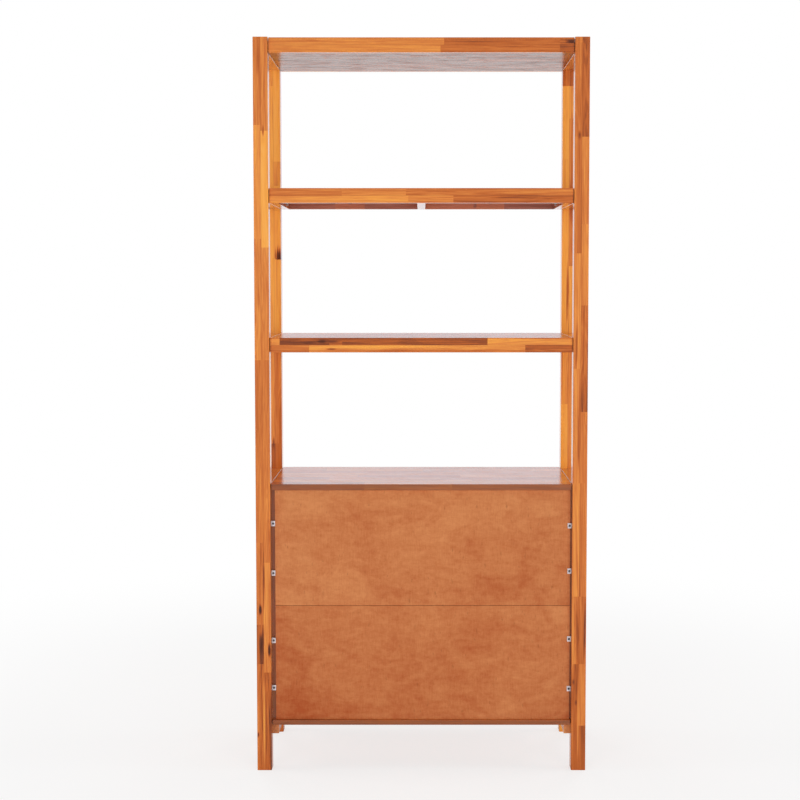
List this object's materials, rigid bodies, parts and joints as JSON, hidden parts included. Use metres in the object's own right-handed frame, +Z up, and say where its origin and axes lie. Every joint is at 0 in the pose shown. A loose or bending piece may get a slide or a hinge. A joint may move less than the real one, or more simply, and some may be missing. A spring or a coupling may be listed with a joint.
{
  "type": "bookcase cabinet",
  "caption": "Tall open bookcase of square acacia posts and hollow shelves over a closed cabinet with inset doors, knobs and clipped plywood backs.",
  "frame": {"origin": "on the floor, under the middle of the outline, knobs included", "axes": "+X to the right of a person facing the doors, +Y from the doors to the back, +Z up"},
  "size_m": [0.814, 0.374, 1.8],
  "materials": {
    "acacia_stock": "finger-jointed acacia staves under satin lacquer",
    "acacia_panel": "edge-glued acacia board under satin lacquer",
    "back_plywood": "stained rotary-cut plywood, thin satin coat",
    "beech": "plain turned beech",
    "clip_plastic": "moulded white",
    "dark_screw": "blackened steel",
    "zinc_steel": "zinc plated",
    "hinge_brass": "aged, satin",
    "catch_plastic": "moulded brown"
  },
  "bodies": {
    "carcass": {"back_panel_clips": "clip_plastic", "back_panel_lower": "back_plywood", "back_panel_upper": "back_plywood", "bottom_cleat_left": "acacia_stock", "bottom_cleat_right": "acacia_stock", "cabinet_bottom_board": "acacia_panel", "cabinet_middle_shelf": "acacia_panel", "cabinet_side_left": "acacia_panel", "cabinet_side_right": "acacia_panel", "cabinet_top_board": "acacia_panel", "clip_screws": "dark_screw", "dowels": "beech", "frame_bolts": "zinc_steel", "hinge_pins": "hinge_brass", "hinge_post_leaves": "hinge_brass", "hinge_post_screws": "hinge_brass", "lower_shelf_centre_batten": "acacia_stock", "lower_shelf_end_batten_left": "acacia_stock", "lower_shelf_end_batten_right": "acacia_stock", "lower_shelf_front_rail": "acacia_stock", "lower_shelf_panel": "acacia_panel", "lower_shelf_rear_rail": "acacia_stock", "magnetic_catches": "catch_plastic", "post_front_left": "acacia_stock", "post_front_right": "acacia_stock", "post_rear_left": "acacia_stock", "post_rear_right": "acacia_stock", "shelf_pins": "zinc_steel", "side_rail_base_left": "acacia_stock", "side_rail_base_right": "acacia_stock", "side_rail_cabinet_left": "acacia_stock", "side_rail_cabinet_right": "acacia_stock", "side_rail_lower_shelf_left": "acacia_stock", "side_rail_lower_shelf_right": "acacia_stock", "side_rail_top_left": "acacia_stock", "side_rail_top_right": "acacia_stock", "side_rail_upper_shelf_left": "acacia_stock", "side_rail_upper_shelf_right": "acacia_stock", "top_end_batten_left": "acacia_stock", "top_end_batten_right": "acacia_stock", "top_front_rail": "acacia_stock", "top_lining": "acacia_panel", "top_panel": "acacia_panel", "top_rear_rail": "acacia_stock", "upper_shelf_centre_batten": "acacia_stock", "upper_shelf_end_batten_left": "acacia_stock", "upper_shelf_end_batten_right": "acacia_stock", "upper_shelf_front_rail": "acacia_stock", "upper_shelf_panel": "acacia_panel", "upper_shelf_rear_rail": "acacia_stock"},
    "door_left": {"door_left": "acacia_panel", "door_knob_left": "acacia_stock", "strike_plate_left": "zinc_steel", "hinge_door_leaves_left": "hinge_brass", "hinge_door_screws_left": "hinge_brass"},
    "door_right": {"door_right": "acacia_panel", "door_knob_right": "acacia_stock", "strike_plate_right": "zinc_steel", "hinge_door_leaves_right": "hinge_brass", "hinge_door_screws_right": "hinge_brass"}
  },
  "joints": [
    {"name": "door_left_hinge", "type": "hinge", "parent": "carcass", "child": "door_left", "pos_m": [-0.3695, -0.1664, 0.411], "axis": [0, 0, -1], "range_deg": [0, 170]},
    {"name": "door_right_hinge", "type": "hinge", "parent": "carcass", "child": "door_right", "pos_m": [0.3695, -0.1664, 0.411], "axis": [0, 0, 1], "range_deg": [0, 170]}
  ]
}
